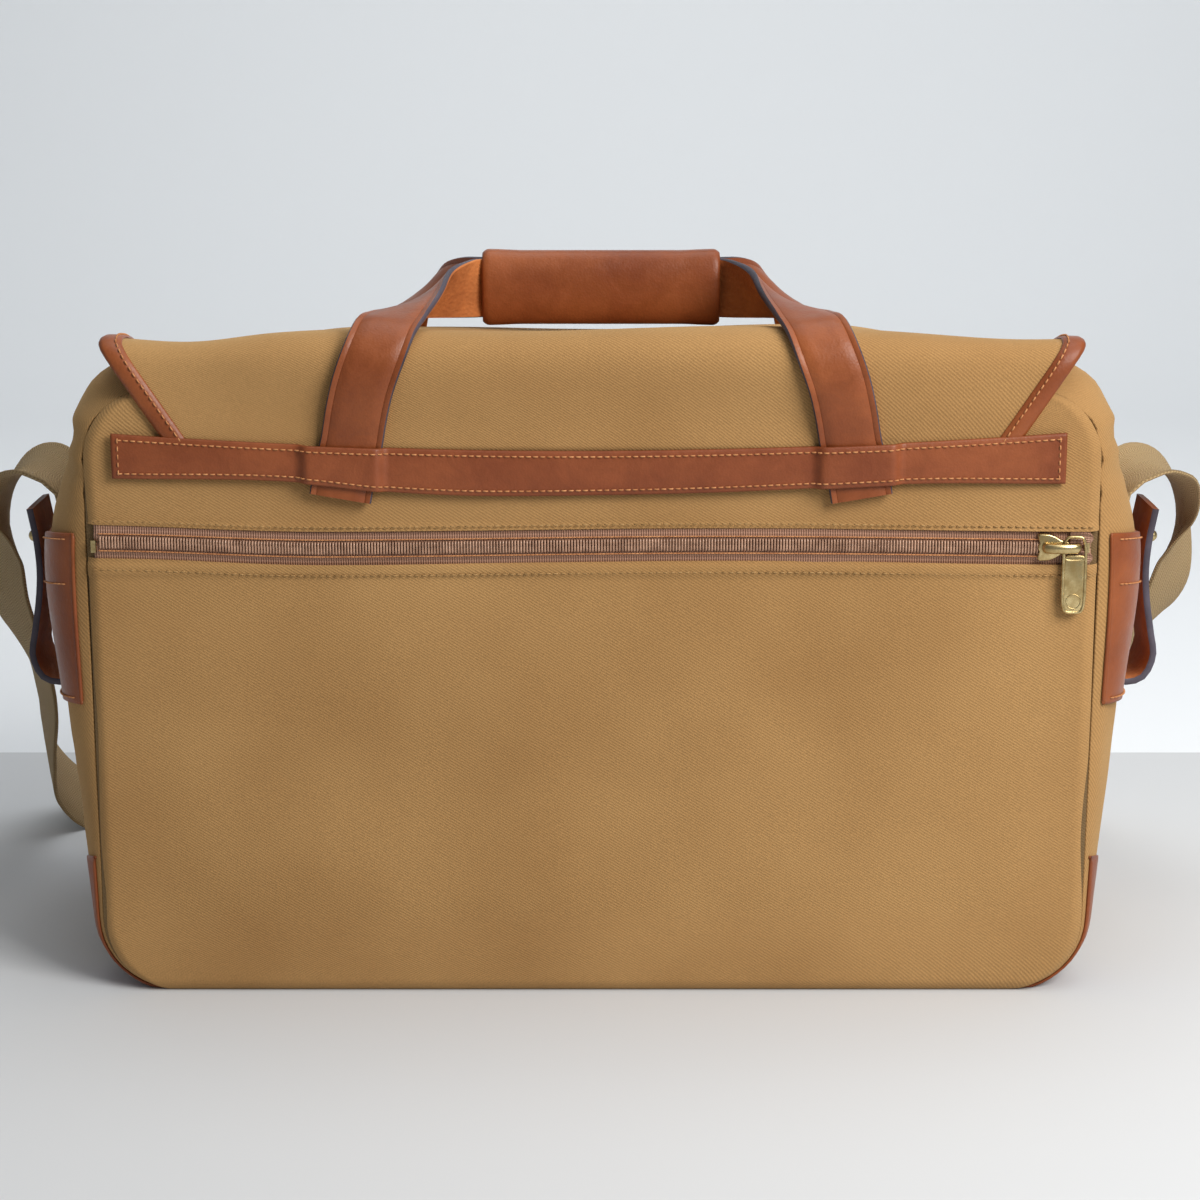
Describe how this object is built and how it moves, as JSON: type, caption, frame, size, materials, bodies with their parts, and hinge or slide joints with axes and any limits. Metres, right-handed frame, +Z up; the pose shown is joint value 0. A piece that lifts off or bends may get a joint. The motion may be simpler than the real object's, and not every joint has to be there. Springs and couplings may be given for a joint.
{
  "type": "doctor bag",
  "caption": "Canvas doctor bag with a fold-over lid, leather-wrapped carry handle, rear zip pocket, side slings and a webbing shoulder strap.",
  "frame": {"origin": "middle of the base's underside, between the gussets and between the front and rear panels", "axes": "+Z up; +X along the bag's width, to the right when looking at the zip pocket; -Y out of the rear panel that holds the zip pocket"},
  "size_m": [0.626, 0.3189, 0.3401],
  "materials": {
    "canvas": "washed khaki cotton twill, matte",
    "leather": "oiled tan-brown leather, satin",
    "brass": "antique brass, worn",
    "zip_tape": "ribbed woven tape, matte",
    "zip_coil": "moulded nylon coil",
    "webbing": "woven cotton webbing, matte",
    "stiffener_board": "matte board"
  },
  "bodies": {
    "bag": {"left_rear_corner": "leather", "left_front_corner": "leather", "right_rear_corner": "leather", "right_front_corner": "leather", "left_gusset": "canvas", "right_gusset": "canvas", "base_panel": "canvas", "base_stiffener": "stiffener_board", "rear_wall": "canvas", "front_panel": "canvas", "rear_lower_panel": "canvas", "rear_upper_panel": "canvas", "zip_tape_upper": "zip_tape", "zip_tape_lower": "zip_tape", "zip_coil_upper": "zip_coil", "zip_coil_lower": "zip_coil", "zip_stops": "brass", "lid_hem": "canvas", "rear_strip": "leather", "left_handle_end": "leather", "right_handle_end": "leather", "left_chape": "leather", "right_chape": "leather", "closure_studs": "brass", "left_side_patch": "leather", "right_side_patch": "leather", "side_studs": "brass", "side_rivets": "brass", "shoulder_strap": "webbing"},
    "lid": {"lid_panel": "canvas", "lid_binding_left": "leather", "lid_binding_right": "leather", "lid_binding_front": "leather", "rear_handle_strap": "leather", "front_handle_strap": "leather", "handle_grip": "leather"},
    "left_closure": {"left_closure_tip": "leather"},
    "right_closure": {"right_closure_tip": "leather"},
    "slider": {"zip_slider": "brass"},
    "pull": {"zip_pull": "brass"},
    "left_sling_body": {"left_sling": "leather"},
    "right_sling_body": {"right_sling": "leather"}
  },
  "joints": [
    {"name": "lid_open", "type": "hinge", "parent": "bag", "child": "lid", "pos_m": [0, -0.1098, 0.261], "axis": [1, 0, 0], "range_deg": [0, 150]},
    {"name": "left_closure_lift", "type": "hinge", "parent": "lid", "child": "left_closure", "pos_m": [-0.11, 0.1141, 0.1001], "axis": [1, 0, 0], "range_deg": [-12, 75]},
    {"name": "right_closure_lift", "type": "hinge", "parent": "lid", "child": "right_closure", "pos_m": [0.118, 0.1141, 0.1001], "axis": [1, 0, 0], "range_deg": [-12, 75]},
    {"name": "zip_slide", "type": "slide", "parent": "bag", "child": "slider", "axis": [-1, 0, 0], "range_m": [0, 0.42]},
    {"name": "zip_pull_swing", "type": "hinge", "parent": "slider", "child": "pull", "pos_m": [0.2185, -0.10645, 0.215], "axis": [0, 1, 0], "range_deg": [-110, 60]},
    {"name": "left_sling_open", "type": "hinge", "parent": "bag", "child": "left_sling_body", "pos_m": [-0.2544, 0, 0.131], "axis": [0, -1, 0], "range_deg": [0, 95]},
    {"name": "right_sling_open", "type": "hinge", "parent": "bag", "child": "right_sling_body", "pos_m": [0.2544, 0, 0.131], "axis": [0, 1, 0], "range_deg": [0, 95]}
  ]
}
